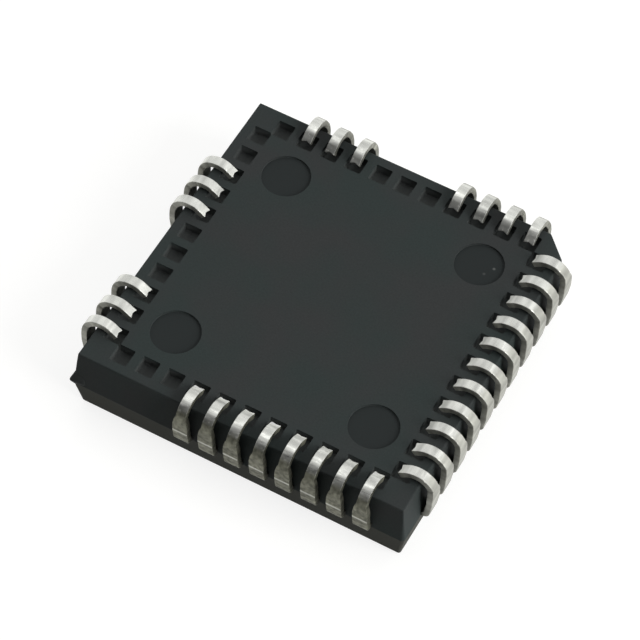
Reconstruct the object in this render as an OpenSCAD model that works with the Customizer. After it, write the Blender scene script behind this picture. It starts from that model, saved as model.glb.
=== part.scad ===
// Plastic leaded chip carrier with J-shaped leads, lying upside down on its marking face.
// X runs along the front side, Y from front to back and Z up. The origin is the middle of the marking face.
// Pins are counted clockwise seen from above, with pin 1 in the middle of the back side.

/* [Body] */
// Width of the moulded body at the parting line, the same both ways
body_w = 16.58; // [16.2:0.02:17]
// Height of the moulded body, from the marking face to the underside
body_h = 3.7; // [3.5:0.02:4]
// Height of the parting line above the marking face
part_z = 1.6; // [1.4:0.02:1.8]
// Draft of the walls above the parting line, in degrees
draft_under = 6.1; // [2:0.1:8]
// Draft of the walls below the parting line, in degrees
draft_face = 9; // [2:0.1:12]
// Cut across the orientation corner, measured along each side
chamfer = 1.2; // [1:0.02:1.4]
// Cut across each of the three plain corners
corner_cut = 0.1; // [0.06:0.01:0.3]
// Length of the gate remnant along each wall of its corner
gate_w = 0.8; // [0.5:0.05:1.2]
// Height of the gate remnant where it leaves its corner
gate_h = 1.1; // [0.8:0.05:1.3]
// Height of the gate remnant's broken end
gate_end = 0.2; // [0.1:0.02:0.4]
// Height of the broken end's middle above the parting line
gate_rise = 0.27; // [0.2:0.01:0.4]
// How far the gate remnant stands out from its corner
gate_out = 0.08; // [0.05:0.01:0.25]

/* [Underside] */
// Width of a lead pocket along its side
pocket_w = 0.86; // [0.78:0.01:1]
// Length of a lead pocket, from its inner to its outer wall
pocket_l = 0.9; // [0.75:0.01:1]
// Depth of a lead pocket
pocket_d = 0.55; // [0.4:0.01:0.8]
// Room between a lead's tip and the inner wall of its pocket
tip_room = 0.25; // [0.15:0.01:0.35]
// Diameter of an ejector mark
mark_d = 2.3; // [1.6:0.05:3]
// Distance of the ejector marks from the centre lines
mark_pos = 4.95; // [4:0.05:5.2]
// Depth of an ejector mark
mark_depth = 0.1; // [0.02:0.01:0.15]

/* [Marking face] */
// Diameter of the round index mark that shows where pin 1 is
index_d = 1.3; // [0.8:0.05:1.8]
// Distance of the index mark from the middle of the marking face
index_pos = 6.3; // [5.5:0.05:6.6]
// Depth of the index mark
index_depth = 0.1; // [0.05:0.01:0.2]

/* [Leads] */
// Distance from lead to lead along a side
pitch = 1.27; // [1.2:0.01:1.3]
// Thickness of the lead strip
lead_t = 0.3; // [0.2:0.01:0.33]
// Width of a lead from the body up to its shoulder
lead_wide = 0.74; // [0.66:0.01:0.8]
// Width of a lead above its shoulder, at the foot
lead_foot = 0.48; // [0.36:0.01:0.53]
// How far the outer face of a lead stands out from the body
lead_out = 0.475; // [0.45:0.005:0.5]
// Height of the feet above the underside
standoff = 0.52; // [0.5:0.01:0.6]
// Outer radius of the bend where a lead leaves the body
bend_r = 0.385; // [0.35:0.005:0.42]
// Lean of the lead above that bend, in degrees from upright
lead_lean = 7; // [6:0.5:12]
// Outer radius of the crease where the lean ends
crease_r = 0.6; // [0.4:0.05:0.8]
// Outer radius of the curl at the foot
curl_r = 0.95; // [0.85:0.01:1]
// Angle that the curl turns through before its flat tip, in degrees
curl_turn = 126; // [118:1:135]
// Length of the flat tip
tip_l = 0.37; // [0.25:0.01:0.45]
// Depth below the underside at which the shoulder starts
shoulder_low = 0.68; // [0.6:0.02:1]
// Depth below the underside at which the shoulder ends
shoulder_high = 0.18; // [0.17:0.01:0.5]
// Straight run between the body and the first bend
exit_run = 0.01; // [0:0.01:0.03]
// Least room between the last foot of a side and the tips of the next side
foot_room = 0.15; // [0.1:0.01:0.35]

/* [Inside] */
// Width of the die paddle, the same both ways
paddle_w = 6.4; // [5.4:0.1:7.4]
// Width of the two bars that held the paddle
tie_w = 0.3; // [0.2:0.02:0.4]
// Gap between the paddle and the inner ends of the leads
finger_gap = 0.6; // [0.4:0.05:0.9]
// Width of a lead's inner end
finger_w = 0.3; // [0.2:0.02:0.34]
// Length of lead inside the wall that keeps its full width
finger_root = 0.9; // [0.6:0.05:1.2]
// Room between the last inner end of a side and the diagonal
finger_corner = 0.8; // [0.7:0.02:1]
// Width of the die, the same both ways
die_w = 4.2; // [3.2:0.1:5.2]
// Thickness of the die
die_t = 0.38; // [0.25:0.01:0.5]
// Thickness of the adhesive between paddle and die
attach_t = 0.03; // [0.02:0.01:0.06]
// Distance of the bond pads from the edge of the die
pad_inset = 0.12; // [0.08:0.01:0.2]
// Room between the last bond pad of a row and the corner of the die
pad_corner = 0.45; // [0.4:0.01:0.6]
// Diameter of a bond wire
wire_d = 0.03; // [0.025:0.005:0.05]
// Height of a bond wire's loop over the die
wire_loop = 0.2; // [0.15:0.01:0.3]
// Length of a bond wire's upright end on its lead
wire_end = 0.06; // [0.05:0.01:0.1]
// Distance of a bond wire from the inner end of its lead
wire_land = 0.15; // [0.08:0.01:0.25]

/* [Hidden] */
// Half width of the body at the parting line
half = body_w / 2;
// Levels of the feet and of the lower face of the die
seat_z = body_h + standoff;
die_z = part_z - attach_t - die_t;
// Outer face of the leads, centre of the first bend and centre of the curl
lead_u = half + lead_out;
bend_u = half + exit_run;
bend_z = part_z + bend_r;
curl_u = lead_u - curl_r;
curl_z = seat_z - curl_r;
// Straight stretch between first bend and crease, from what the lean has to bridge
lean_run = (lead_u - bend_u - crease_r * (1 - cos(lead_lean)) - bend_r * cos(lead_lean)) / sin(lead_lean);
crease_z = bend_z - bend_r * sin(lead_lean) + lean_run * cos(lead_lean) + crease_r * sin(lead_lean);
// Inner wall of the pockets, from where the tips of the leads end
tip_u = curl_u + curl_r * cos(curl_turn) - tip_l * sin(curl_turn);
pocket_u = tip_u - tip_room;
// Positions on each side, as many as fit between the tips of its neighbours, and positions in all
ROW_STEPS = floor((tip_u - foot_room - lead_foot / 2) / pitch);
SIDE_N = 2 * ROW_STEPS + 1;
PIN_N = 4 * SIDE_N;
// Back, right, front and left side, read clockwise: x has a lead in its pocket, o has none
ROWS = ["oxxxoooxxxx", "xxxxxxxxxxx", "xxxxxxxxooo", "xxxoooxxxoo"];
ROW_MIDDLE = (len(ROWS[0]) - 1) / 2;
LEADS = [for (p = [1 : PIN_N]) if (ROWS[side_of(p)][ROW_MIDDLE + steps(p)] == "x") p];
// Inner ends of the leads and the spacing that they fan in to
finger_u = paddle_w / 2 + finger_gap;
fan_pitch = (finger_u - finger_corner) / ROW_STEPS;
pad_pitch = (die_w / 2 - pad_corner) / ROW_STEPS;
// How far a cutting solid runs past the face that it opens
past = 1;
// How far a straight stretch of the strip laps into a bend, and the flat tip into the curl
lap = 0.01;
tip_lap = 0.06;
$fn = 64;
// Node names
function lead_name(p) = str("lead_", p < 10 ? "0" : "", p);
LEAD_NODES = [for (p = LEADS) lead_name(p)];

// Place of a pin: its count from the left end of the back side, its side and its steps from the side's middle
function place(p) = (p + ROW_STEPS - 1) % PIN_N;
function side_of(p) = floor(place(p) / SIDE_N);
function steps(p) = place(p) % SIDE_N - ROW_STEPS;

// Puts a shape made for the middle of the back side at a pin's side
module on_side(p) {
    rotate([0, 0, -90 * side_of(p)])
        children();
}

// Half width of the body at a height, for a wall that reaches w at the parting line
function wall_at(w, z) = w - abs(z - part_z) * tan(z < part_z ? draft_face : draft_under);

// Wall pair of the body: reaches a one way and b the other, between two levels
module wall_pair(a, b, z0, z1) {
    outline = [
        [-wall_at(a, z0), z0],
        [wall_at(b, z0), z0],
        [b, part_z],
        [wall_at(b, z1), z1],
        [-wall_at(a, z1), z1],
        [-a, part_z]
    ];
    rotate([90, 0, 0])
        linear_extrude(height = 4 * body_w, center = true)
            polygon(outline);
}

// Body with all its walls, before anything is cut
module block() {
    intersection() {
        wall_pair(half, half, 0, body_h);
        rotate([0, 0, 90])
            wall_pair(half, half, -past, body_h + past);
        rotate([0, 0, 45])
            wall_pair((2 * half - corner_cut) / sqrt(2), (2 * half - chamfer) / sqrt(2), -past, body_h + past);
        rotate([0, 0, -45])
            wall_pair((2 * half - corner_cut) / sqrt(2), (2 * half - corner_cut) / sqrt(2), -past, body_h + past);
    }
}

// Rest of the mould's gate at the front left corner: a kite in plan, and a wedge seen across the corner
module gate() {
    edge = gate_w - half;
    tip = -half - gate_out;
    mid = part_z + gate_rise;
    corner = -wall_at(half, mid + gate_h / 2) * sqrt(2);
    wedge = [
        [tip * sqrt(2), mid - gate_end / 2],
        [tip * sqrt(2), mid + gate_end / 2],
        [corner, mid + gate_h / 2],
        [edge * sqrt(2), mid],
        [corner, mid - gate_h / 2]
    ];
    intersection() {
        linear_extrude(height = body_h)
            polygon([[-half, edge], [tip, tip], [edge, -half], [0, 0]]);
        rotate([0, 0, 45])
            rotate([90, 0, 0])
                linear_extrude(height = 4 * gate_w, center = true)
                    polygon(wedge);
    }
}

// Pocket for one lead in the underside
module pocket(p) {
    on_side(p)
        translate([steps(p) * pitch - pocket_w / 2, pocket_u, body_h - pocket_d])
            cube([pocket_w, pocket_l, pocket_d + past]);
}

// Flat ring sector between two angles, for the bends of a lead
module bend(u, z, r, from, to) {
    reach = 2 * r;
    wedge = [for (i = [0 : 3]) let (a = from + (to - from) * i / 3) [reach * cos(a), reach * sin(a)]];
    translate([u, z])
        intersection() {
            difference() {
                circle(r = r);
                circle(r = r - lead_t);
            }
            polygon(concat([[0, 0]], wedge));
        }
}

// Side view of a lead outside the body, from its exit round to the tip
module lead_profile() {
    along = [sin(lead_lean), cos(lead_lean)];
    across = [-lead_t * cos(lead_lean), lead_t * sin(lead_lean)];
    lean_start = [bend_u + bend_r * cos(lead_lean), bend_z - bend_r * sin(lead_lean)] - lap * along;
    lean_end = lean_start + (lean_run + 2 * lap) * along;
    curl_out = [cos(curl_turn), sin(curl_turn)];
    tip_along = [-curl_out[1], curl_out[0]];
    tip_start = [curl_u, curl_z] + curl_r * curl_out - tip_lap * tip_along;
    tip_end = tip_start + (tip_l + tip_lap) * tip_along;
    translate([bend_u - finger_root / 2, part_z])
        square([finger_root / 2 + lap, lead_t]);
    bend(bend_u, bend_z, bend_r, -90, -lead_lean);
    polygon([lean_start, lean_end, lean_end + across, lean_start + across]);
    bend(lead_u - crease_r, crease_z, crease_r, -lead_lean, 0);
    translate([lead_u - lead_t, crease_z - lap])
        square([lead_t, curl_z - crease_z + 2 * lap]);
    bend(curl_u, curl_z, curl_r, 0, curl_turn);
    polygon([tip_start, tip_end, tip_end - lead_t * curl_out, tip_start - lead_t * curl_out]);
}

// Front view of a lead: wide below its shoulder and narrow above it
module lead_front() {
    low = body_h - shoulder_low;
    high = body_h - shoulder_high;
    polygon([
        [-lead_wide / 2, part_z - past],
        [lead_wide / 2, part_z - past],
        [lead_wide / 2, low],
        [lead_foot / 2, high],
        [lead_foot / 2, seat_z + past],
        [-lead_foot / 2, seat_z + past],
        [-lead_foot / 2, high],
        [-lead_wide / 2, low]
    ]);
}

// Plan of a lead's finger inside the body, from the first bend to the inner end
module finger_plan(p) {
    s = steps(p) * pitch;
    t = steps(p) * fan_pitch;
    polygon([
        [s - lead_wide / 2, bend_u],
        [s + lead_wide / 2, bend_u],
        [s + lead_wide / 2, half - finger_root],
        [t + finger_w / 2, finger_u],
        [t - finger_w / 2, finger_u],
        [s - lead_wide / 2, half - finger_root]
    ]);
}

// Finger inside the body
module finger(p) {
    on_side(p)
        translate([0, 0, part_z])
            linear_extrude(height = lead_t)
                finger_plan(p);
}

// One lead, stamped and bent from one strip
module lead(p) {
    color("silver") {
        on_side(p)
            translate([steps(p) * pitch, 0, 0])
                intersection() {
                    rotate([90, 0, 90])
                        linear_extrude(height = 2 * lead_wide, center = true)
                            lead_profile();
                    translate([0, lead_u + past, 0])
                        rotate([90, 0, 0])
                            linear_extrude(height = body_w)
                                lead_front();
                }
        finger(p);
    }
}

// Pad of the lead frame with its two bars, cut flush with the back corners
module die_paddle() {
    color("peru")
        intersection() {
            translate([0, 0, part_z])
                linear_extrude(height = lead_t) {
                    square(paddle_w, center = true);
                    for (a = [45, 135])
                        rotate([0, 0, a])
                            translate([0, -tie_w / 2])
                                square([body_w, tie_w]);
                }
            block();
        }
}

// Adhesive under the paddle
module die_attach() {
    color("lightgray")
        translate([-die_w / 2, -die_w / 2, part_z - attach_t])
            cube([die_w, die_w, attach_t]);
}

// Die, with its active face towards the marking face
module silicon_die() {
    color("slategray")
        translate([-die_w / 2, -die_w / 2, die_z])
            cube([die_w, die_w, die_t]);
}

// Straight piece of wire between two points
module rod(a, b) {
    d = b - a;
    run = norm(d);
    translate(a)
        rotate([0, acos(d[2] / run), atan2(d[1], d[0])])
            cylinder(d = wire_d, h = run, $fn = 8);
}

// Wire from the die to one lead, in three straight pieces
module bond_wire(p) {
    pad = [steps(p) * pad_pitch, die_w / 2 - pad_inset, die_z];
    land = [steps(p) * fan_pitch, finger_u + wire_land, part_z];
    top = pad - [0, 0, wire_loop];
    foot = land - [0, 0, wire_end];
    on_side(p) {
        rod(pad, top);
        rod(top, foot);
        rod(foot, land);
    }
}

module bond_wires() {
    color("gold")
        for (p = LEADS)
            bond_wire(p);
}

// Black epoxy, moulded round everything inside it
module moulded_body() {
    color("#2f3132")
        difference() {
            union() {
                block();
                gate();
            }
            for (p = [1 : PIN_N])
                pocket(p);
            for (x = [-1, 1], y = [-1, 1])
                translate([x * mark_pos, y * mark_pos, body_h - mark_depth])
                    cylinder(d = mark_d, h = mark_depth + past);
            translate([0, index_pos, -past])
                cylinder(d = index_d, h = index_depth + past);
            for (p = LEADS)
                finger(p);
            die_paddle();
            die_attach();
            silicon_die();
            bond_wires();
        }
}

moulded_body();
die_paddle();
die_attach();
silicon_die();
bond_wires();
for (p = LEADS)
    lead(p);
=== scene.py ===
import math
import random
from types import SimpleNamespace

import bmesh
import bpy
from bpy.props import FloatProperty, FloatVectorProperty, PointerProperty
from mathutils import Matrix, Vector


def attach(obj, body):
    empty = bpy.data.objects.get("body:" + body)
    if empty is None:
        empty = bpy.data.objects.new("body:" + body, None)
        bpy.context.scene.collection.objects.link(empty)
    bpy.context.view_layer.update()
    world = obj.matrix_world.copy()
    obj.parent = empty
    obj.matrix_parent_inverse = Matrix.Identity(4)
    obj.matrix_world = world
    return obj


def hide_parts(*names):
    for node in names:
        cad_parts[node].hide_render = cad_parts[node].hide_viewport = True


bl_info = {
    "name": "Leaded Chip Carrier",
    "version": (1, 0, 0),
    "blender": (4, 5, 0),
    "location": "View3D > Sidebar > Chip",
    "description": "Dresses an upturned chip carrier with J-shaped leads and sets up its stage",
    "category": "Object",
}

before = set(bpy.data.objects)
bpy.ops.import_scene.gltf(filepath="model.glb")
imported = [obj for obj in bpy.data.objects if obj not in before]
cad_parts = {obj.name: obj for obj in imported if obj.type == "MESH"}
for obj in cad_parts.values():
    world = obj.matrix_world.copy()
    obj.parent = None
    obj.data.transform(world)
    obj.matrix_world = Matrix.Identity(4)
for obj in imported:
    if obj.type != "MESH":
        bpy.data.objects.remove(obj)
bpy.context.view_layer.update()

# One millimetre in metres. Pieces are modelled in millimetres and scaled to metres when they
# are done, because Blender's tools take points a tenth of a millimetre apart, in metres, for one.
MM = 0.001
# Positions along a side, and steps from its middle to its end
SIDE_COUNT = 11
ROW_STEPS = (SIDE_COUNT - 1) // 2
LEAD_NODE = "lead_"
# Leads on the back, right, front and left side: painted shade from none to full, the turn of the curl
# in degrees up to which they stay dull, set per side to follow the light, and how much painted
# shade darkens or painted light brightens their flat tips
SIDE_SHADE = (0.3, 0, 1, 0.1)
DULL_TURN = (36, 46, 36, 8)
TIP_PAINTED_LIGHT = (0.5, 1.1, 1.25, 0.85)
# Specks in the back right ejector mark: place in millimetres and strength
SPECKS = ((5.62, 5.11, 1), (5.35, 4.65, 0.4))
# Length of strip over which dull tin turns bright, in millimetres
BURNISH_FADE = 0.34
# Painted light in a lead pocket, which fills its shade, in millimetres: the margin at its walls
# and under its rim, and the depth at which the painted light is full
POCKET_RIM = 0.03
POCKET_FADE = 0.25
# Cuts in each half of a lead's shoulder, and steps of its bend at the body, crease and curl
SHOULDER_CUTS = 4
BEND_STEPS = 12
CREASE_STEPS = 3
CURL_STEPS = 20
# Sides of the round cutters for an ejector mark and for the index mark
MARK_SIDES = 96
INDEX_SIDES = 64
# How far across the strip a face has to look to be one of its cut sides
CUT_SIDE_TURN = 0.8
# Gap between the body's wall and the start of a lead's bend, in millimetres
BEND_GAP = 0.01
# Chance in the leads: its seed, their largest turn in degrees and the spread of their patterns
LEAD_SEED = 7
LEAD_SWAY = 0.6
PATTERN_SPREAD = 50
# How far a cutter runs past the face that it opens, and what counts as the same place
PAST = 1.0
NEAR = 0.001
# Edges that turn further than these angles, in degrees, are rounded or shaded sharp
GATE_EDGE = 20
CUT_EDGE = 50
BODY_SHARP = 35
LEAD_SHARP = 14
# Floor: width and gap below the part in metres, and how much the camera and polished metal
# see it lifted
FLOOR_WIDTH = 3
FLOOR_GAP = 0.01 * MM
FLOOR_LIFT = 0.81
# Room: its brightest and dimmest part, the way its bright half faces, and where it fades
ROOM_BRIGHT = 1.04
ROOM_DIM = 0.07
ROOM_FACING = Vector((-0.35, 0.68, 0.64))
ROOM_FADE = (0.03, 0.84)
# Lamps: name, place and width in metres, and radiance
LAMPS = (
    ("key_softbox", (0.42, -0.02, 0.2), 0.3, 7.2),
    ("top_softbox", (-0.11, 0.08, 0.4), 0.12, 0.8),
    ("back_softbox", (0.23, 0.227, 0.31), 0.24, 0.5),
)
# Camera at the photo's angle: place in metres, turn in degrees, lens and sensor in millimetres,
# and the nearest distance that it sees in metres
CAMERA_PLACE = (0.035806, -0.070477, 0.116877)
CAMERA_TURN = (34.5004, -1.23026, 28.97695)
CAMERA_LENS = 175.305
CAMERA_SENSOR = 36
CAMERA_NEAR = 0.01


def linear(code):
    """Turns an sRGB hex colour into the linear values that the shaders take."""
    parts = [int(code[i:i + 2], 16) / 255 for i in (1, 3, 5)]
    return [p / 12.92 if p <= 0.04045 else ((p + 0.055) / 1.055) ** 2.4 for p in parts]


def length(name, description, millimetres):
    """Makes the property of a length, which Blender keeps in metres."""
    return FloatProperty(
        name=name, description=description, default=millimetres * MM,
        min=0, precision=5, unit="LENGTH", subtype="DISTANCE",
    )


def angle(name, description, degrees):
    """Makes the property of an angle, which Blender keeps in radians."""
    return FloatProperty(
        name=name, description=description, default=math.radians(degrees),
        min=0, max=math.pi, unit="ROTATION", subtype="ANGLE",
    )


def colour(name, description, code):
    """Makes the property of a colour, which Blender keeps as linear values."""
    return FloatVectorProperty(
        name=name, description=description, default=linear(code),
        min=0, max=1, size=3, subtype="COLOR",
    )


class BodySizes(bpy.types.PropertyGroup):
    """Sizes of the moulded body."""

    width: length("Width", "Width at the parting line, the same both ways", 16.58)
    height: length("Height", "From the marking face to the underside", 3.7)
    parting: length("Parting line", "Height of the parting line above the marking face", 1.6)
    draft_under: angle("Draft above", "Lean of the walls above the parting line", 6.1)
    draft_face: angle("Draft below", "Lean of the walls below the parting line", 9)
    chamfer: length("Chamfer", "Cut across the orientation corner, along each side", 1.2)
    corner_cut: length("Corner cut", "Cut across each plain corner, along each side", 0.1)
    rim_round: length("Rim round", "Rounding of the underside's rim and the upper upright edges", 0.05)
    face_round: length("Face round", "Rounding round the marking face and up its corners", 0.12)
    parting_round: length("Parting round", "Rounding of the parting line", 0.02)
    cut_round: length("Cut round", "Rounding of the rims of pockets and marks", 0.02)
    gate_spread: length("Gate spread", "From the corner's diagonal to a side point of the gate remnant", 0.5)
    gate_depth: length("Gate depth", "From the middle of the gate remnant to its end", 0.64)
    gate_up: length("Gate up", "From the middle of the gate remnant to its upper point", 1.09)
    gate_down: length("Gate down", "From the middle of the gate remnant to its lower point", 1.0)
    gate_rise: length("Gate rise", "From the parting line to the middle of the gate remnant", 0.26)
    gate_reach: length("Gate reach", "From the middle of the body to the end of the gate remnant", 11.93)
    gate_round: length("Gate round", "Rounding of the gate remnant", 0.08)
    pocket_width: length("Pocket width", "Width of a lead pocket along its side", 0.86)
    pocket_length: length("Pocket length", "From the inner to the outer wall of a pocket", 0.9)
    pocket_depth: length("Pocket depth", "Depth of a lead pocket", 0.5)
    pocket_inner: length("Pocket place", "From the middle to the inner wall of a pocket", 6.707)
    pocket_round: length("Pocket round", "Rounding of a pocket's upright corners", 0.07)
    mark_width: length("Mark width", "Diameter of an ejector mark", 2.3)
    mark_place: length("Mark place", "Distance of the marks from the middle lines", 4.95)
    mark_depth: length("Mark depth", "Depth of an ejector mark", 0.1)
    index_width: length("Index width", "Diameter of the index mark on the marking face", 1.3)
    index_place: length("Index place", "From the middle to the index mark", 6.3)
    index_depth: length("Index depth", "Depth of the index mark", 0.1)


class LeadSizes(bpy.types.PropertyGroup):
    """Sizes of a lead, which starts inside the body and ends in a J-shaped curl."""

    pitch: length("Pitch", "From lead to lead along a side", 1.27)
    thickness: length("Thickness", "Thickness of the strip", 0.3)
    wide: length("Wide part", "Width from the body up to the shoulder", 0.74)
    foot: length("Foot", "Width above the shoulder", 0.48)
    out: length("Stand-out", "From the body to the outer face of a lead", 0.475)
    standoff: length("Standoff", "Height of the feet above the underside", 0.52)
    bend_radius: length("Bend radius", "Outer radius of the bend at the body", 0.385)
    lean: angle("Lean", "Lean of the lead above that bend", 7)
    crease_radius: length("Crease radius", "Outer radius of the crease where the lean ends", 0.6)
    curl_radius: length("Curl radius", "Outer radius of the curl", 0.95)
    curl_turn: angle("Curl turn", "Angle that the curl turns through before its flat tip", 126)
    tip_length: length("Tip length", "Length of the flat tip", 0.37)
    tip_notch: length("Tip notch", "How far the middle of the tip's end is set back", 0.08)
    shoulder: length("Shoulder", "Depth below the underside at which the shoulder starts", 0.68)
    shoulder_turn: angle("Shoulder turn", "How far into the curl the shoulder reaches", 22)
    inner_end: length("Inner end", "From the middle of the body to a lead's inner end", 3.8)
    inner_width: length("Inner width", "Width of a lead's inner end", 0.3)
    inner_pitch: length("Inner pitch", "Spacing of the inner ends", 0.6)
    root: length("Root", "Length of lead inside the wall that keeps its width", 0.9)
    edge_round: length("Edge round", "Rounding of the stamped edges", 0.028)
    # Length over which the strip darkens from the body's wall
    resin_bleed: length("Resin bleed", "How far dark resin crept out along a lead", 0.2)
    tie_width: length("Tie bar", "Width of the bars that end in the back corners", 0.3)


class Finishes(bpy.types.PropertyGroup):
    """Colours of the part and of the stage."""

    epoxy: colour("Epoxy", "Matt moulded face", "#393B3B")
    epoxy_tint: colour("Epoxy tint", "Cooler patches of the moulded face", "#353C3B")
    # Browner face below the parting line, made paler with painted bounce light from the floor
    epoxy_low_bounce_lit: colour("Epoxy below", "Moulded face below the parting line", "#40413B")
    # Painted light: a paler tone that fills the shade deep in the lead pockets, as rough as the face
    pocket: colour("Pocket", "Smoother faces inside the lead pockets", "#4C4F4E")
    # Two pale specks in one ejector mark
    speck: colour("Speck", "Chipped specks in one ejector mark", "#606260")
    mark: colour("Ejector mark", "Smoother disc that an ejector pin leaves", "#2C3030")
    tin: colour("Tin", "Tin plating on the curls", "#E3E4DE")
    # Painted glints on the burnished curls
    tin_glint: colour("Bright tin", "Spots that the forming tool rubbed", "#ECECE6")
    tin_dull: colour("Dull tin", "Tin plating on the wide part and the cut edges", "#ACACA4")
    # Dull tin under full painted shade, used most on the front leads
    tin_side_shaded: colour("Tarnished tin", "The same where it is fully tarnished", "#747468")
    # Near-black tone of the strip next to the body's wall
    bleed: colour("Resin bleed", "Resin that crept out along a lead", "#262622")
    copper: colour("Copper alloy", "Bare strip of the lead frame", "#B8814F")
    adhesive: colour("Adhesive", "Silver-filled adhesive", "#A9A8A3")
    silicon: colour("Silicon", "Ground silicon", "#5A5F66")
    gold: colour("Gold", "Bond wire", "#E3B650")
    floor: colour("Floor", "Floor of the stage", "#92928F")


def in_millimetres(group):
    """Copies a group of sizes, with lengths in millimetres and angles in radians."""
    sizes = {}
    for key in type(group).__annotations__:
        is_length = group.bl_rna.properties[key].unit == "LENGTH"
        sizes[key] = getattr(group, key) / (MM if is_length else 1)
    return SimpleNamespace(**sizes)


def activate(piece):
    """Leaves one object selected and active."""
    if bpy.context.object and bpy.context.object.mode != "OBJECT":
        bpy.ops.object.mode_set(mode="OBJECT")
    bpy.ops.object.select_all(action="DESELECT")
    piece.select_set(True)
    bpy.context.view_layer.objects.active = piece


def added(name):
    """Names the primitive that was just added and puts its place and size in its mesh."""
    piece = bpy.context.object
    activate(piece)
    bpy.ops.object.transform_apply(location=True, rotation=True, scale=True)
    piece.name = name
    piece.data.name = name
    return piece


def edit(piece):
    """Opens a piece in edit mode with nothing selected."""
    activate(piece)
    bpy.ops.object.mode_set(mode="EDIT")
    bpy.ops.mesh.select_all(action="DESELECT")


def leave():
    """Goes back to object mode."""
    bpy.ops.object.mode_set(mode="OBJECT")


def pick(piece, kind, test):
    """Selects in edit mode the vertices, edges or faces all of whose points pass a test."""
    bpy.ops.mesh.select_mode(type={"verts": "VERT", "edges": "EDGE", "faces": "FACE"}[kind])
    bpy.ops.mesh.select_all(action="DESELECT")
    mesh = bmesh.from_edit_mesh(piece.data)
    for item in getattr(mesh, kind):
        points = [item.co] if kind == "verts" else [v.co for v in item.verts]
        item.select_set(all(test(point) for point in points))
    mesh.select_flush_mode()
    bmesh.update_edit_mesh(piece.data)


def modify(piece, kind, **settings):
    """Adds a modifier, sets it and applies it."""
    activate(piece)
    bpy.ops.object.modifier_add(type=kind)
    modifier = piece.modifiers[-1]
    for key, value in settings.items():
        setattr(modifier, key, value)
    bpy.ops.object.modifier_apply(modifier=modifier.name)


def cut(piece, cutter, operation="DIFFERENCE"):
    """Cuts one piece with another, or joins it on, and deletes that other one."""
    modify(piece, "BOOLEAN", object=cutter, operation=operation, solver="EXACT")
    bpy.data.objects.remove(cutter)


def turned_copy(piece, turn, shift=(0, 0, 0)):
    """Copies a piece with its own mesh, shifts the copy and then turns it round Z."""
    activate(piece)
    bpy.ops.object.duplicate(linked=False)
    copy = bpy.context.object
    copy.location = shift
    bpy.ops.object.transform_apply(location=True, rotation=False, scale=False)
    copy.rotation_euler = (0, 0, turn)
    bpy.ops.object.transform_apply(location=False, rotation=True, scale=False)
    return copy


def finish_piece(piece, name, material, node):
    """Scales a piece to metres and hands it over in place of a node of the frame."""
    activate(piece)
    piece.scale = (MM, MM, MM)
    bpy.ops.object.transform_apply(location=False, rotation=False, scale=True)
    piece.name = name
    piece.data.name = name
    piece.data.materials.clear()
    piece.data.materials.append(material)
    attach(piece, "root")
    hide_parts(node)


def side_and_step(pin):
    """Side of a pin, counted clockwise from the back, and its steps from that side's middle."""
    place = (pin + ROW_STEPS - 1) % (4 * SIDE_COUNT)
    return place // SIDE_COUNT, place % SIDE_COUNT - ROW_STEPS


def add(tree, kind, inputs=None, **settings):
    """Adds a node, sets it, and fills or links its inputs."""
    node = tree.nodes.new(kind)
    for key, value in settings.items():
        setattr(node, key, value)
    for key, value in (inputs or {}).items():
        if isinstance(value, bpy.types.NodeSocket):
            tree.links.new(value, node.inputs[key])
        else:
            node.inputs[key].default_value = value
    return node


def new_material(name):
    """Starts a material and returns it with its emptied tree."""
    material = bpy.data.materials.new(name)
    material.use_nodes = True
    material.node_tree.nodes.clear()
    return material, material.node_tree


def per_mm(millimetres):
    """Scale of a noise on metres whose features are that wide."""
    return 1 / (millimetres * MM)


def rgba(values):
    """Adds full opacity to a colour."""
    return (*values, 1)


def noise(tree, place, scale, detail, rough):
    """Adds a noise and returns its level."""
    inputs = {"Vector": place, "Scale": scale, "Detail": detail, "Roughness": rough}
    return add(tree, "ShaderNodeTexNoise", inputs).outputs["Fac"]


def attribute(tree, name):
    """Reads a number that the mesh carries."""
    return add(tree, "ShaderNodeAttribute", attribute_name=name).outputs["Fac"]


def mapped(tree, value, start=0, end=1, low=0, high=1, **settings):
    """Maps a value from one range to another and stops at the ends of both."""
    inputs = {"Value": value, "From Min": start, "From Max": end, "To Min": low, "To Max": high}
    return add(tree, "ShaderNodeMapRange", inputs, **settings).outputs["Result"]


def compute(tree, operation, first, second=0):
    """Works out one number from two, or from one."""
    return add(tree, "ShaderNodeMath", {0: first, 1: second}, operation=operation).outputs["Value"]


def mixed(tree, factor, first, second):
    """Goes from one colour to another."""
    inputs = {"Factor": factor, "A": first, "B": second}
    return add(tree, "ShaderNodeMix", inputs, data_type="RGBA").outputs["Result"]


def toned(tree, tone, factor):
    """Makes a colour darker or brighter."""
    inputs = {0: tone, "Scale": factor}
    return add(tree, "ShaderNodeVectorMath", inputs, operation="SCALE").outputs["Vector"]


def distance(tree, place, point):
    """Distance of each place from a point given in millimetres."""
    inputs = {0: place, 1: [value * MM for value in point]}
    return add(tree, "ShaderNodeVectorMath", inputs, operation="DISTANCE").outputs["Value"]


def pocket_light_mask(tree, folded, height, size, pitch):
    """Tells how much painted light a face gets inside a lead pocket, from 0 at its rim to 1 lower down."""
    fold = add(tree, "ShaderNodeSeparateXYZ", {"Vector": folded}).outputs
    further = compute(tree, "MAXIMUM", fold["X"], fold["Y"])
    nearer = compute(tree, "MINIMUM", fold["X"], fold["Y"])
    pocket_end = size.pocket_inner + size.pocket_length + POCKET_RIM
    row_end = ROW_STEPS * pitch + size.pocket_width / 2 + POCKET_RIM
    inside = compute(tree, "LESS_THAN", further, pocket_end * MM)
    in_row = compute(tree, "LESS_THAN", nearer, row_end * MM)
    inside = compute(tree, "MULTIPLY", inside, in_row)
    above = compute(tree, "GREATER_THAN", height, size.parting * MM)
    inside = compute(tree, "MULTIPLY", inside, above)
    full = (size.height - POCKET_FADE) * MM
    rim = (size.height - POCKET_RIM) * MM
    return mapped(tree, height, full, rim, inside, 0)


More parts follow.
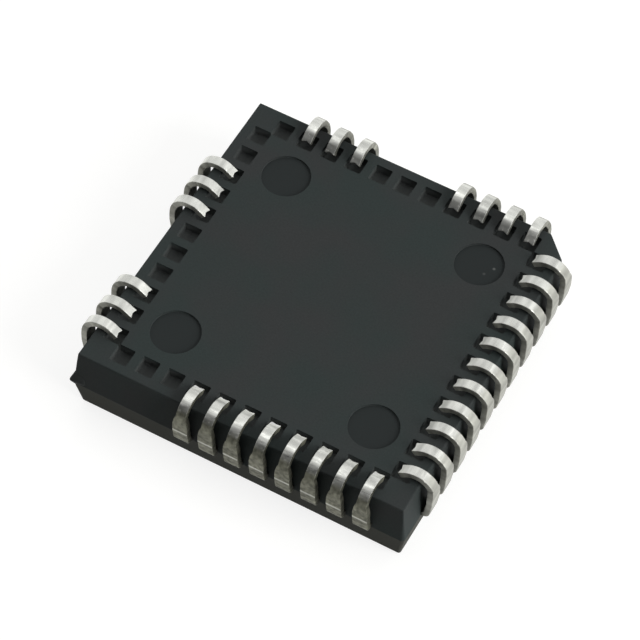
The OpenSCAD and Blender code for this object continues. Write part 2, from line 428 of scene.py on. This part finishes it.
def epoxy_material(looks, size, pitch):
    """Black silica-filled epoxy, moulded in a spark-eroded cavity.

    The eye sees a dry, dark grey face with a fine even grain and cooler patches, browner below
    the parting line, where painted light from the floor's bounce also makes it paler. Painted
    light makes the lead pockets paler with depth, filling their shade. The pins that pushed the
    part out left discs that are smoother and a shade darker, and one of these has two pale specks.
    """
    material, tree = new_material("silica_filled_epoxy_moulded_matt")
    place = add(tree, "ShaderNodeTexCoord").outputs["Object"]
    # Grain of a spark-eroded mould is near 0.02 mm, drawn here at 0.09 mm so that it shows
    grain = noise(tree, place, per_mm(0.09), 3, 0.6)
    # Patches where the resin flowed differently are a few millimetres wide
    patch = noise(tree, place, per_mm(3.5), 2, 0.5)
    tint = mapped(tree, patch, 0.35, 0.65)
    face = mixed(tree, tint, rgba(looks.epoxy), rgba(looks.epoxy_tint))
    # Below the parting line the face is browner, and painted light from the floor's bounce makes it paler
    height = add(tree, "ShaderNodeSeparateXYZ", {"Vector": place}).outputs["Z"]
    below = compute(tree, "LESS_THAN", height, size.parting * MM)
    face = mixed(tree, below, face, rgba(looks.epoxy_low_bounce_lit))
    # Painted light: the lead pockets turn paler with depth, which fills their shade
    folded = add(tree, "ShaderNodeVectorMath", {0: place}, operation="ABSOLUTE").outputs["Vector"]
    pocket_light = pocket_light_mask(tree, folded, height, size, pitch)
    face = mixed(tree, pocket_light, face, rgba(looks.pocket))
    face = toned(tree, face, mapped(tree, grain, 0.3, 0.7, 0.93, 1.07))
    # The four ejector marks lie alike round the middle, and each fades out over its rim
    away = distance(tree, folded, (size.mark_place, size.mark_place, size.height))
    edge = size.mark_width / 2
    in_mark = mapped(tree, away, (edge - 0.03) * MM, (edge + 0.01) * MM, 1, 0)
    shade = mixed(tree, in_mark, face, rgba(looks.mark))
    # One mark has two pale specks, about a tenth of a millimetre wide
    for x, y, strength in SPECKS:
        off = distance(tree, place, (x, y, size.height - size.mark_depth))
        chip = mapped(tree, off, 0.02 * MM, 0.09 * MM, strength, 0)
        shade = mixed(tree, chip, shade, rgba(looks.speck))
    rough = mapped(tree, in_mark, low=0.62, high=0.48)
    depth = mapped(tree, in_mark, low=0.22, high=0.1)
    bump = add(tree, "ShaderNodeBump", {"Height": grain, "Strength": depth, "Distance": 0.012 * MM})
    shader = add(tree, "ShaderNodeBsdfPrincipled",
                 {"Base Color": shade, "Roughness": rough, "IOR": 1.5, "Specular IOR Level": 0.06,
                  "Normal": bump.outputs["Normal"]})
    add(tree, "ShaderNodeOutputMaterial", {"Surface": shader.outputs["BSDF"]})
    return material


def tin_burnish(tree, along, tarnish, marks):
    """Tells how burnished the tin is: on the curl, along the crease and under the first bend."""
    # Dull up to the foot of the curl, burnished further on, and less dull where there is no painted shade
    dull_end = attribute(tree, "dull_end")
    bright_start = compute(tree, "ADD", dull_end, BURNISH_FADE)
    curl = mapped(tree, along, dull_end, bright_start, interpolation_type="SMOOTHSTEP")
    curl = compute(tree, "MAXIMUM", curl, mapped(tree, tarnish, low=0.14, high=0))
    # A line rubbed along the crease, about 0.06 mm wide, and the underside of the bend below it
    off_crease = compute(tree, "SUBTRACT", along, marks.crease)
    off_crease = compute(tree, "ABSOLUTE", off_crease)
    crease = mapped(tree, off_crease, 0.02, 0.09, 0.4, 0)
    under = mapped(tree, along, -0.19, -0.12, 0.6, 0)
    lines = compute(tree, "MAXIMUM", crease, under)
    rub = compute(tree, "MAXIMUM", curl, lines)
    # The cut sides of the strip were never rubbed
    face = compute(tree, "SUBTRACT", 1, attribute(tree, "cut_side"))
    return compute(tree, "MULTIPLY", rub, face)


def tin_material(looks, marks):
    """Matt tin, plated on stamped copper alloy strip and burnished where the tool curled it.

    The eye sees a satin, slightly warm metal. The curl is brighter, crossed by faint bands and
    dotted with small painted glints, strongest on the front leads, and ends in a matt flat tip.
    The wide part and the cut sides are duller and rougher, with a rubbed line along the crease.
    Patchy painted shade darkens them, most on the front leads, and the flat tips get painted
    shade on the back and left leads and painted light on the right and front. The strip is
    darker next to the body's wall.
    """
    material, tree = new_material("matt_tin_plated_strip")
    # The strip attribute holds place across and along the strip in mm, and a lead's own shift
    strip = add(tree, "ShaderNodeAttribute", attribute_name="strip").outputs["Vector"]
    along = add(tree, "ShaderNodeSeparateXYZ", {"Vector": strip}).outputs["Y"]
    # Bands from the forming tool lie about a quarter of a millimetre apart, across the strip
    flat = add(tree, "ShaderNodeMapping", {"Vector": strip, "Scale": (0.25, 1, 1)})
    band = noise(tree, flat.outputs["Vector"], 1 / 0.28, 1.5, 0.5)
    # Crystals of matt tin are a few thousandths of a millimetre wide, drawn here as a mottle of
    # 0.14 mm so that it shows
    mottle = noise(tree, strip, 1 / 0.14, 1.5, 0.5)
    # Painted glints: small bright spots, about a twentieth of a millimetre wide
    glint_spot = mapped(tree, noise(tree, strip, 1 / 0.11, 0.5, 0.5), 0.63, 0.75)
    # The painted shade is patchy, in patches about a fifth of a millimetre wide
    patches = noise(tree, strip, 1 / 0.2, 1, 0.5)
    tarnish = attribute(tree, "tarnish")
    burnish = tin_burnish(tree, along, tarnish, marks)
    # Painted shade: the dull tin turns darker and patchy by side, most on the front leads
    dull = mixed(tree, tarnish, rgba(looks.tin_dull), rgba(looks.tin_side_shaded))
    patched = toned(tree, dull, mapped(tree, patches, 0.3, 0.7, 0.7, 1.35))
    dull = mixed(tree, tarnish, dull, patched)
    tin = mixed(tree, burnish, dull, rgba(looks.tin))
    # Painted shade darkens the flat tips of the back and left leads, and painted light brightens those of
    # the right and front
    on_tip = mapped(tree, along, marks.flat - 0.25, marks.flat + 0.05)
    tin = toned(tree, tin, mapped(tree, on_tip, low=1, high=attribute(tree, "tip_shade")))
    tin = toned(tree, tin, mapped(tree, band, 0.3, 0.7, 0.74, 1.12))
    # Painted glints on the burnished curl, strongest on the front leads
    painted_glint = compute(tree, "MULTIPLY", glint_spot, burnish)
    painted_glint = compute(tree, "MULTIPLY", painted_glint, mapped(tree, tarnish, low=0.15, high=1))
    tin = mixed(tree, painted_glint, tin, rgba(looks.tin_glint))
    # The strip darkens towards the body's wall, over its first fifth of a millimetre, below the bend
    wall_darkened = mixed(tree, attribute(tree, "resin_bleed"), tin, rgba(looks.bleed))
    # Burnished tin is smoother, and the flat tip, which the tool pressed but did not rub, is matt
    satin = mapped(tree, burnish, low=0.62, high=0.28)
    satin = compute(tree, "ADD", satin, compute(tree, "MULTIPLY", on_tip, 0.3))
    rough = compute(tree, "ADD", satin, mapped(tree, mottle, 0.3, 0.7, -0.05, 0.05))
    banded = add(tree, "ShaderNodeBump", {"Height": band, "Strength": 0.9, "Distance": 0.045 * MM})
    bump = add(tree, "ShaderNodeBump",
               {"Height": mottle, "Strength": 0.25, "Distance": 0.008 * MM,
                "Normal": banded.outputs["Normal"]})
    shader = add(tree, "ShaderNodeBsdfPrincipled",
                 {"Base Color": wall_darkened, "Metallic": 1, "Roughness": rough,
                  "Normal": bump.outputs["Normal"]})
    add(tree, "ShaderNodeOutputMaterial", {"Surface": shader.outputs["BSDF"]})
    return material


def inner_material(name, base, metallic, rough_low, rough_high, grain, stretch):
    """Finish of a piece inside the body: one colour that a grain shades and roughens.

    The eye would see the lines or crystals that rolling, grinding, drawing or curing left.
    """
    material, tree = new_material(name)
    place = add(tree, "ShaderNodeTexCoord").outputs["Object"]
    drawn = add(tree, "ShaderNodeMapping", {"Vector": place, "Scale": stretch})
    lines = noise(tree, drawn.outputs["Vector"], per_mm(grain), 3, 0.6)
    shade = toned(tree, tuple(base), mapped(tree, lines, 0.3, 0.7, 0.8, 1.1))
    rough = mapped(tree, lines, 0.3, 0.7, rough_low, rough_high)
    bump = add(tree, "ShaderNodeBump", {"Height": lines, "Strength": 0.3, "Distance": 0.004 * MM})
    shader = add(tree, "ShaderNodeBsdfPrincipled",
                 {"Base Color": shade, "Metallic": metallic, "Roughness": rough,
                  "Normal": bump.outputs["Normal"]})
    add(tree, "ShaderNodeOutputMaterial", {"Surface": shader.outputs["BSDF"]})
    return material


def floor_material(looks):
    """Pale matt board, painted.

    The eye sees an even white sheet with the object's soft shadow on it. What the camera and
    polished metal see of it is lifted, so that it comes out white.
    """
    material, tree = new_material("pale_board_painted_matt")
    place = add(tree, "ShaderNodeTexCoord").outputs["Object"]
    # Brush marks of the paint are about 2 mm wide
    paint = noise(tree, place, per_mm(2), 2, 0.5)
    shade = toned(tree, tuple(looks.floor), mapped(tree, paint, low=0.99, high=1.01))
    board = add(tree, "ShaderNodeBsdfDiffuse", {"Color": shade})
    path = add(tree, "ShaderNodeLightPath").outputs
    seen = compute(tree, "MAXIMUM", path["Is Camera Ray"], path["Is Glossy Ray"])
    seen = compute(tree, "MAXIMUM", seen, path["Is Transmission Ray"])
    lift = compute(tree, "MULTIPLY", seen, FLOOR_LIFT)
    glow = add(tree, "ShaderNodeEmission", {"Strength": lift})
    lifted = add(tree, "ShaderNodeAddShader", {0: board.outputs["BSDF"], 1: glow.outputs["Emission"]})
    add(tree, "ShaderNodeOutputMaterial", {"Surface": lifted.outputs["Shader"]})
    return material


def wall_shift(draft, rise):
    """How far a drafted wall draws in over a height."""
    return rise * math.tan(draft)


def body_block(size):
    """Models the drafted block with its cut corners and rounded edges."""
    half = size.width / 2
    bpy.ops.mesh.primitive_cube_add(
        size=1, location=(0, 0, size.height / 2), scale=(size.width, size.width, size.height))
    body = added("body_block")
    edit(body)
    bpy.ops.mesh.select_all(action="SELECT")
    bpy.ops.mesh.bisect(plane_co=(0, 0, size.parting), plane_no=(0, 0, 1), threshold=NEAR)
    # The walls draw in on both sides of the parting line
    ends = ((size.height, size.draft_under, size.height - size.parting), (0, size.draft_face, size.parting))
    for level, draft, rise in ends:
        share = 1 - wall_shift(draft, rise) / half
        pick(body, "verts", lambda p, level=level: abs(p.z - level) < NEAR)
        bpy.ops.transform.resize(value=(share, share, 1), center_override=(0, 0, level))
    # Each corner is cut by two planes that meet in the parting line
    for x, y in ((1, 1), (1, -1), (-1, -1), (-1, 1)):
        corner_cut = size.chamfer if x > 0 and y > 0 else size.corner_cut
        out = Vector((x, y, 0)).normalized()
        reach = out * (size.width - corner_cut) / math.sqrt(2)
        for draft, up in ((size.draft_under, 1), (size.draft_face, -1)):
            normal = out * math.cos(draft) + Vector((0, 0, up * math.sin(draft)))
            bpy.ops.mesh.select_all(action="SELECT")
            bpy.ops.mesh.bisect(
                plane_co=reach + Vector((0, 0, size.parting)), plane_no=normal,
                use_fill=True, clear_outer=True, threshold=NEAR)
    bpy.ops.mesh.select_all(action="SELECT")
    bpy.ops.mesh.remove_doubles(threshold=NEAR)
    bpy.ops.mesh.normals_make_consistent(inside=False)
    # Each kind of edge is rounded by its own share of the widest rounding
    widest = max(size.rim_round, size.face_round, size.parting_round)
    mesh = bmesh.from_edit_mesh(body.data)
    weight = mesh.edges.layers.float.new("bevel_weight_edge")
    for line in mesh.edges:
        levels = [v.co.z for v in line.verts]
        if all(abs(z - size.parting) < NEAR for z in levels):
            line[weight] = size.parting_round / widest
        elif min(levels) < NEAR:
            line[weight] = size.face_round / widest
        else:
            line[weight] = size.rim_round / widest
    bmesh.update_edit_mesh(body.data)
    leave()
    modify(body, "BEVEL", width=widest, segments=3, limit_method="WEIGHT")
    return body


def gate_remnant(size):
    """Models the rest of the mould's gate, broken off short at the front left corner."""
    middle = Vector((size.gate_depth - size.gate_reach, 0, size.parting + size.gate_rise))
    bpy.ops.mesh.primitive_cone_add(
        vertices=4, radius1=1, depth=size.gate_up, location=middle + Vector((0, 0, size.gate_up / 2)),
        scale=(size.gate_depth, size.gate_spread, 1))
    gate = added("gate_remnant")
    edit(gate)
    # Its upper, lower and side points lie inside the body, so that it slopes out of all the walls
    pick(gate, "faces", lambda p: p.z < middle.z + NEAR)
    push((0, 0, -size.gate_down))
    bpy.ops.mesh.merge(type="COLLAPSE")
    leave()
    modify(gate, "BEVEL", width=size.gate_round, segments=3, limit_method="ANGLE",
           angle_limit=math.radians(GATE_EDGE))
    turned = turned_copy(gate, math.pi / 4)
    bpy.data.objects.remove(gate)
    return turned


def pocket_row(size, pitch):
    """Models the cutter for one side's row of lead pockets, at the back."""
    floor = size.height - size.pocket_depth
    tall = size.pocket_depth + PAST
    middle = size.pocket_inner + size.pocket_length / 2
    bpy.ops.mesh.primitive_cube_add(
        size=1, location=(-ROW_STEPS * pitch, middle, floor + tall / 2),
        scale=(size.pocket_width, size.pocket_length, tall))
    row = added("pocket_row")
    edit(row)
    # Upright corners and the floor's edge are rounded as the mould's pins are
    pick(row, "edges", lambda p: True)
    mesh = bmesh.from_edit_mesh(row.data)
    for line in mesh.edges:
        line.select_set(abs(line.verts[0].co.z - line.verts[1].co.z) > NEAR)
    mesh.select_flush_mode()
    bpy.ops.mesh.bevel(offset=size.pocket_round, segments=2, affect="EDGES")
    pick(row, "edges", lambda p: p.z < floor + NEAR)
    bpy.ops.mesh.bevel(offset=size.pocket_round / 2, segments=2, affect="EDGES")
    leave()
    modify(row, "ARRAY", count=SIDE_COUNT, use_relative_offset=False,
           use_constant_offset=True, constant_offset_displace=(pitch, 0, 0))
    return row


def ejector_mark(size):
    """Models the cutter for one ejector mark, with a rounded rim at its foot."""
    floor = size.height - size.mark_depth
    tall = size.mark_depth + PAST
    bpy.ops.mesh.primitive_cylinder_add(
        vertices=MARK_SIDES, radius=size.mark_width / 2, depth=tall,
        location=(size.mark_place, size.mark_place, floor + tall / 2))
    mark = added("ejector_mark")
    edit(mark)
    pick(mark, "edges", lambda p: p.z < floor + NEAR)
    bpy.ops.mesh.bevel(offset=size.mark_depth / 5, segments=2, affect="EDGES")
    leave()
    return mark


def index_mark(size):
    """Models the cutter for the index mark in the marking face, rounded round its floor."""
    tall = size.index_depth + PAST
    bpy.ops.mesh.primitive_cylinder_add(
        vertices=INDEX_SIDES, radius=size.index_width / 2, depth=tall,
        location=(0, size.index_place, size.index_depth - tall / 2))
    mark = added("index_mark")
    edit(mark)
    pick(mark, "edges", lambda p: p.z > size.index_depth - NEAR)
    bpy.ops.mesh.bevel(offset=size.index_depth / 2, segments=2, affect="EDGES")
    leave()
    return mark


def tie_bar_slot(size, lead):
    """Models the cutter that lets a bar of the lead frame out, on the X axis."""
    bpy.ops.mesh.primitive_cube_add(
        size=1, location=(size.width / math.sqrt(2), 0, size.parting + lead.thickness / 2),
        scale=(2 * size.chamfer, lead.tie_width, lead.thickness))
    return added("tie_bar_slot")


def lies_flat(face, size):
    """Tells whether a face of the body is part of its top, its bottom or a wall."""
    leans = (math.sin(size.draft_under), -math.sin(size.draft_face))
    level = abs(face.normal.z) > 1 - NEAR
    return level or any(abs(face.normal.z - lean) < NEAR for lean in leans)


class MouldedBody(bpy.types.Operator):
    """Models the moulded body with its gate remnant, pockets, marks and slots."""

    bl_idname = "chip.moulded_body"
    bl_label = "Moulded Body"

    def execute(self, context):
        size = in_millimetres(context.scene.chip_body)
        lead = in_millimetres(context.scene.chip_leads)
        body = body_block(size)
        cut(body, gate_remnant(size), "UNION")
        row = pocket_row(size, lead.pitch)
        mark = ejector_mark(size)
        slot = tie_bar_slot(size, lead)
        for quarter in range(4):
            cut(body, turned_copy(row, quarter * math.pi / 2))
            cut(body, turned_copy(mark, quarter * math.pi / 2))
        for eighth in (1, 3):
            cut(body, turned_copy(slot, eighth * math.pi / 4))
        cut(body, index_mark(size))
        for cutter in (row, mark, slot):
            bpy.data.objects.remove(cutter)
        modify(body, "BEVEL", width=size.cut_round, segments=2, limit_method="ANGLE",
               angle_limit=math.radians(CUT_EDGE))
        activate(body)
        bpy.ops.object.shade_smooth_by_angle(angle=math.radians(BODY_SHARP))
        for face in body.data.polygons:
            face.use_smooth = not lies_flat(face, size)
        material = epoxy_material(context.scene.chip_finishes, size, lead.pitch)
        finish_piece(body, "epoxy_body", material, "moulded_body")
        return {"FINISHED"}


def lead_path(body, lead):
    """Works out the centres of a lead's bends and the lengths between them, as the strip runs."""
    half = body.width / 2
    path = SimpleNamespace(half=half)
    path.face = half + lead.out
    path.bend_y = half + BEND_GAP
    path.bend_z = body.parting + lead.bend_radius
    path.curl_y = path.face - lead.curl_radius
    path.curl_z = body.height + lead.standoff - lead.curl_radius
    bridged = lead.crease_radius * (1 - math.cos(lead.lean)) + lead.bend_radius * math.cos(lead.lean)
    path.lean_run = (path.face - path.bend_y - bridged) / math.sin(lead.lean)
    path.crease_y = path.face - lead.crease_radius
    path.crease_z = (path.bend_z - lead.bend_radius * math.sin(lead.lean)
                     + path.lean_run * math.cos(lead.lean) + lead.crease_radius * math.sin(lead.lean))
    path.shoulder_z = body.height - lead.shoulder
    return path


def push(value, width=1, centre=(0, 0, 0)):
    """Extrudes the end of the strip and widens or narrows it there."""
    bpy.ops.mesh.extrude_region_move(TRANSFORM_OT_translate={"value": value})
    if width != 1:
        bpy.ops.transform.resize(value=(width, 1, 1), center_override=centre)


def narrow(width, goal):
    """Brings the end of the strip from one width to another and returns the new width."""
    bpy.ops.transform.resize(value=(goal / width, 1, 1), center_override=(0, 0, 0))
    return goal


def shoulder_width(lead, share):
    """Width of a lead at a share of its shoulder's length."""
    slow = math.sqrt(max(0, 1 - share * share))
    return lead.foot + (lead.wide - lead.foot) * (0.5 * (1 - share) + 0.5 * slow)


def bend_strip(turn, y, z, steps):
    """Bends the end of the strip round a line along X, upwards and then inwards."""
    bpy.ops.mesh.spin(steps=steps, angle=turn, center=(0, y, z), axis=(-1, 0, 0))


def strip_lead(body, lead, path):
    """Models one lead in the middle of the back side, from its inner end to its notched tip."""
    bpy.ops.mesh.primitive_plane_add(
        size=1, location=(0, lead.inner_end, body.parting + lead.thickness / 2),
        rotation=(math.pi / 2, 0, 0))
    piece = added("strip_lead")
    edit(piece)
    bpy.ops.mesh.select_all(action="SELECT")
    start = (0, lead.inner_end, body.parting + lead.thickness / 2)
    bpy.ops.transform.resize(value=(lead.inner_width, 1, lead.thickness), center_override=start)
    push((0, path.half - lead.root - lead.inner_end, 0), lead.wide / lead.inner_width)
    push((0, path.bend_y - path.half + lead.root, 0))
    bend_strip(math.pi / 2 - lead.lean, path.bend_y, path.bend_z, BEND_STEPS)
    push((0, path.lean_run * math.sin(lead.lean), path.lean_run * math.cos(lead.lean)))
    bend_strip(lead.lean, path.crease_y, path.crease_z, CREASE_STEPS)
    push((0, 0, path.shoulder_z - path.crease_z))
    # The shoulder narrows slowly, then fast, and ends a little way into the curl
    straight = path.curl_z - path.shoulder_z
    whole = straight + lead.curl_radius * lead.shoulder_turn
    width = lead.wide
    for i in range(1, SHOULDER_CUTS + 1):
        push((0, 0, straight / SHOULDER_CUTS))
        width = narrow(width, shoulder_width(lead, i / SHOULDER_CUTS * straight / whole))
    for i in range(1, SHOULDER_CUTS + 1):
        bend_strip(lead.shoulder_turn / SHOULDER_CUTS, path.curl_y, path.curl_z, 1)
        bent = i / SHOULDER_CUTS * lead.curl_radius * lead.shoulder_turn
        width = narrow(width, shoulder_width(lead, (straight + bent) / whole))
    bend_strip(lead.curl_turn - lead.shoulder_turn, path.curl_y, path.curl_z, CURL_STEPS)
    inwards = Vector((0, -math.sin(lead.curl_turn), math.cos(lead.curl_turn)))
    push(inwards * lead.tip_length)
    bpy.ops.mesh.select_all(action="SELECT")
    bpy.ops.mesh.remove_doubles(threshold=NEAR)
    # The end of the tip is cut with a shallow notch
    bpy.ops.mesh.bisect(plane_co=(0, 0, 0), plane_no=(1, 0, 0), threshold=NEAR)
    curl_centre = Vector((0, path.curl_y, path.curl_z))
    beyond = lead.tip_length - lead.tip_notch

    def ends_tip(point):
        on_tip = point.z > path.curl_z and (point - curl_centre).dot(inwards) > beyond
        return on_tip and abs(point.x) < NEAR

    pick(piece, "verts", ends_tip)
    bpy.ops.transform.translate(value=-inwards * lead.tip_notch)
    bpy.ops.mesh.select_all(action="SELECT")
    bpy.ops.mesh.normals_make_consistent(inside=False)
    leave()
    modify(piece, "BEVEL", width=lead.edge_round, segments=2, limit_method="ANGLE",
           angle_limit=math.radians(CUT_EDGE))
    activate(piece)
    bpy.ops.object.shade_smooth_by_angle(angle=math.radians(LEAD_SHARP))
    modify(piece, "WEIGHTED_NORMAL", keep_sharp=True)
    return piece


def run_along(point, lead, path):
    """Length of strip from the body's wall to a point of a lead, in millimetres."""
    rise = path.curl_z - path.bend_z
    if point.z > path.curl_z:
        turn = math.atan2(point.z - path.curl_z, point.y - path.curl_y)
        return rise + turn * (lead.curl_radius - lead.thickness / 2)
    if point.y < path.bend_y:
        return point.y - path.bend_y
    return point.z - path.bend_z


def mark_strip(piece, lead, path):
    """Stores each point's place across and along the strip, and which faces are its cut sides."""
    strip = piece.data.attributes.new("strip", "FLOAT_VECTOR", "POINT")
    for vertex, value in zip(piece.data.vertices, strip.data):
        value.vector = (vertex.co.x, run_along(vertex.co, lead, path), 0)
    side = piece.data.attributes.new("cut_side", "FLOAT", "FACE")
    for face, value in zip(piece.data.polygons, side.data):
        value.value = float(abs(face.normal.x) > CUT_SIDE_TURN)
    # Darkening of the strip next to the body's wall
    bleed = piece.data.attributes.new("resin_bleed", "FLOAT", "POINT")
    for vertex, value in zip(piece.data.vertices, bleed.data):
        off_wall = vertex.co.y - path.half
        value.value = max(0, 1 - off_wall / lead.resin_bleed) if vertex.co.z < path.bend_z else 0


class JLeads(bpy.types.Operator):
    """Models one lead and copies it to every position that has one."""

    bl_idname = "chip.j_leads"
    bl_label = "J Leads"

    def execute(self, context):
        body = in_millimetres(context.scene.chip_body)
        lead = in_millimetres(context.scene.chip_leads)
        path = lead_path(body, lead)
        master = strip_lead(body, lead, path)
        mark_strip(master, lead, path)
        rise = path.curl_z - path.bend_z
        arc = lead.curl_radius - lead.thickness / 2
        marks = SimpleNamespace(
            crease=path.crease_z - path.bend_z - lead.crease_radius * lead.lean / 2,
            flat=rise + arc * lead.curl_turn)
        material = tin_material(context.scene.chip_finishes, marks)
        draw = random.Random(LEAD_SEED)
        for node in sorted(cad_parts):
            if not node.startswith(LEAD_NODE):
                continue
            side, step = side_and_step(int(node[len(LEAD_NODE):]))
            copy = turned_copy(master, 0)
            edit(copy)
            # Inside the body the strips fan in, and outside no two are bent quite alike
            pick(copy, "verts", lambda p: p.y < lead.inner_end + 2 * lead.edge_round)
            bpy.ops.transform.translate(value=(step * (lead.inner_pitch - lead.pitch), 0, 0))
            pick(copy, "verts", lambda p: p.y > path.half and p.z > path.bend_z or p.z > body.height)
            hinge = (0, path.bend_y, body.parting)
            for axis in ("X", "Y"):
                sway = math.radians(draw.uniform(-LEAD_SWAY, LEAD_SWAY))
                bpy.ops.transform.rotate(value=sway, orient_axis=axis, center_override=hinge)
            leave()
            shift = draw.uniform(0, PATTERN_SPREAD)
            for value in copy.data.attributes["strip"].data:
                value.vector.z = shift
            looks = {"tarnish": SIDE_SHADE[side], "tip_shade": TIP_PAINTED_LIGHT[side],
                     "dull_end": rise + arc * math.radians(DULL_TURN[side])}
            for key, look in looks.items():
                for value in copy.data.attributes.new(key, "FLOAT", "POINT").data:
                    value.value = look
            placed = turned_copy(copy, -side * math.pi / 2, (step * lead.pitch, 0, 0))
            bpy.data.objects.remove(copy)
            finish_piece(placed, "formed_" + node, material, node)
        bpy.data.objects.remove(master)
        return {"FINISHED"}


class InnerPieces(bpy.types.Operator):
    """Gives the pieces inside the body their finishes."""

    bl_idname = "chip.inner_pieces"
    bl_label = "Inner Pieces"

    def execute(self, context):
        looks = context.scene.chip_finishes
        finishes = {
            # Rolled copper alloy: faint lines along the strip, brightest across them
            "die_paddle": inner_material(
                "copper_alloy_rolled", looks.copper, metallic=1,
                rough_low=0.28, rough_high=0.45, grain=0.08, stretch=(0.1, 1, 1)),
            # Cured adhesive with silver flakes: pale grey and grainy
            "die_attach": inner_material(
                "silver_filled_adhesive_cured", looks.adhesive, metallic=0.4,
                rough_low=0.45, rough_high=0.7, grain=0.05, stretch=(1, 1, 1)),
            # Silicon with a ground back: dark and fairly bright, with fine grinding lines
            "silicon_die": inner_material(
                "silicon_ground", looks.silicon, metallic=0.3,
                rough_low=0.15, rough_high=0.35, grain=0.04, stretch=(1, 0.05, 1)),
            # Drawn gold wire: bright, with faint drawing lines
            "bond_wires": inner_material(
                "gold_wire_drawn", looks.gold, metallic=1,
                rough_low=0.12, rough_high=0.25, grain=0.02, stretch=(1, 1, 1)),
        }
        for node, material in finishes.items():
            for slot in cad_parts[node].material_slots:
                slot.material = material
        return {"FINISHED"}


def softbox(name, place, width, radiance):
    """Adds a square lamp of a given brightness that faces the object."""
    bpy.ops.object.light_add(type="AREA", location=place)
    lamp = bpy.context.object
    lamp.name = name
    lamp.rotation_euler = (-Vector(place)).to_track_quat("-Z", "Y").to_euler()
    lamp.data.shape = "SQUARE"
    lamp.data.size = width
    lamp.data.energy = radiance * math.pi * width * width


def studio_room(scene):
    """Lights the scene from a pale room that is dim low down on the camera's side."""
    world = bpy.data.worlds.new("studio_room")
    scene.world = world
    world.use_nodes = True
    tree = world.node_tree
    tree.nodes.clear()
    way = add(tree, "ShaderNodeTexCoord").outputs["Generated"]
    facing = add(tree, "ShaderNodeVectorMath",
                 {0: way, 1: ROOM_FACING.normalized()}, operation="DOT_PRODUCT")
    level = mapped(tree, facing.outputs["Value"], *ROOM_FADE, ROOM_DIM, ROOM_BRIGHT,
                   interpolation_type="SMOOTHSTEP")
    light = add(tree, "ShaderNodeBackground", {"Strength": level})
    add(tree, "ShaderNodeOutputWorld", {"Surface": light.outputs["Background"]})


class StudioStage(bpy.types.Operator):
    """Adds the floor, the room, three lamps and the camera."""

    bl_idname = "chip.studio_stage"
    bl_label = "Studio Stage"

    def execute(self, context):
        scene = context.scene
        bpy.ops.mesh.primitive_plane_add(size=FLOOR_WIDTH, location=(0, 0, -FLOOR_GAP))
        floor = added("floor")
        floor.data.materials.append(floor_material(scene.chip_finishes))
        studio_room(scene)
        for lamp in LAMPS:
            softbox(*lamp)
        bpy.ops.object.camera_add(
            location=CAMERA_PLACE, rotation=[math.radians(turn) for turn in CAMERA_TURN])
        camera = context.object
        camera.name = "photo_camera"
        camera.data.sensor_width = CAMERA_SENSOR
        camera.data.lens = CAMERA_LENS
        camera.data.clip_start = CAMERA_NEAR
        scene.camera = camera
        scene.view_settings.view_transform = "Standard"
        return {"FINISHED"}


class ChipPanel(bpy.types.Panel):
    """Lists the steps that build the part, with their sizes and colours."""

    bl_idname = "VIEW3D_PT_chip_carrier"
    bl_label = "Chip Carrier"
    bl_space_type = "VIEW_3D"
    bl_region_type = "UI"
    bl_category = "Chip"

    def draw(self, context):
        for operator in OPERATORS:
            self.layout.operator(operator.bl_idname)
        for name in GROUPS:
            group = getattr(context.scene, name)
            box = self.layout.box()
            for key in type(group).__annotations__:
                box.prop(group, key)


GROUPS = {"chip_body": BodySizes, "chip_leads": LeadSizes, "chip_finishes": Finishes}
OPERATORS = (MouldedBody, JLeads, InnerPieces, StudioStage)


def register():
    """Registers the classes and hangs the groups of sizes on the scene."""
    for group in GROUPS.values():
        bpy.utils.register_class(group)
    for name, group in GROUPS.items():
        setattr(bpy.types.Scene, name, PointerProperty(type=group))
    for operator in OPERATORS:
        bpy.utils.register_class(operator)
    bpy.utils.register_class(ChipPanel)


def unregister():
    """Takes away what register added."""
    bpy.utils.unregister_class(ChipPanel)
    for operator in reversed(OPERATORS):
        bpy.utils.unregister_class(operator)
    for name, group in GROUPS.items():
        delattr(bpy.types.Scene, name)
        bpy.utils.unregister_class(group)


def main():
    """Builds the part and its stage."""
    register()
    bpy.ops.chip.moulded_body()
    bpy.ops.chip.j_leads()
    bpy.ops.chip.inner_pieces()
    bpy.ops.chip.studio_stage()


if __name__ == "__main__":
    main()
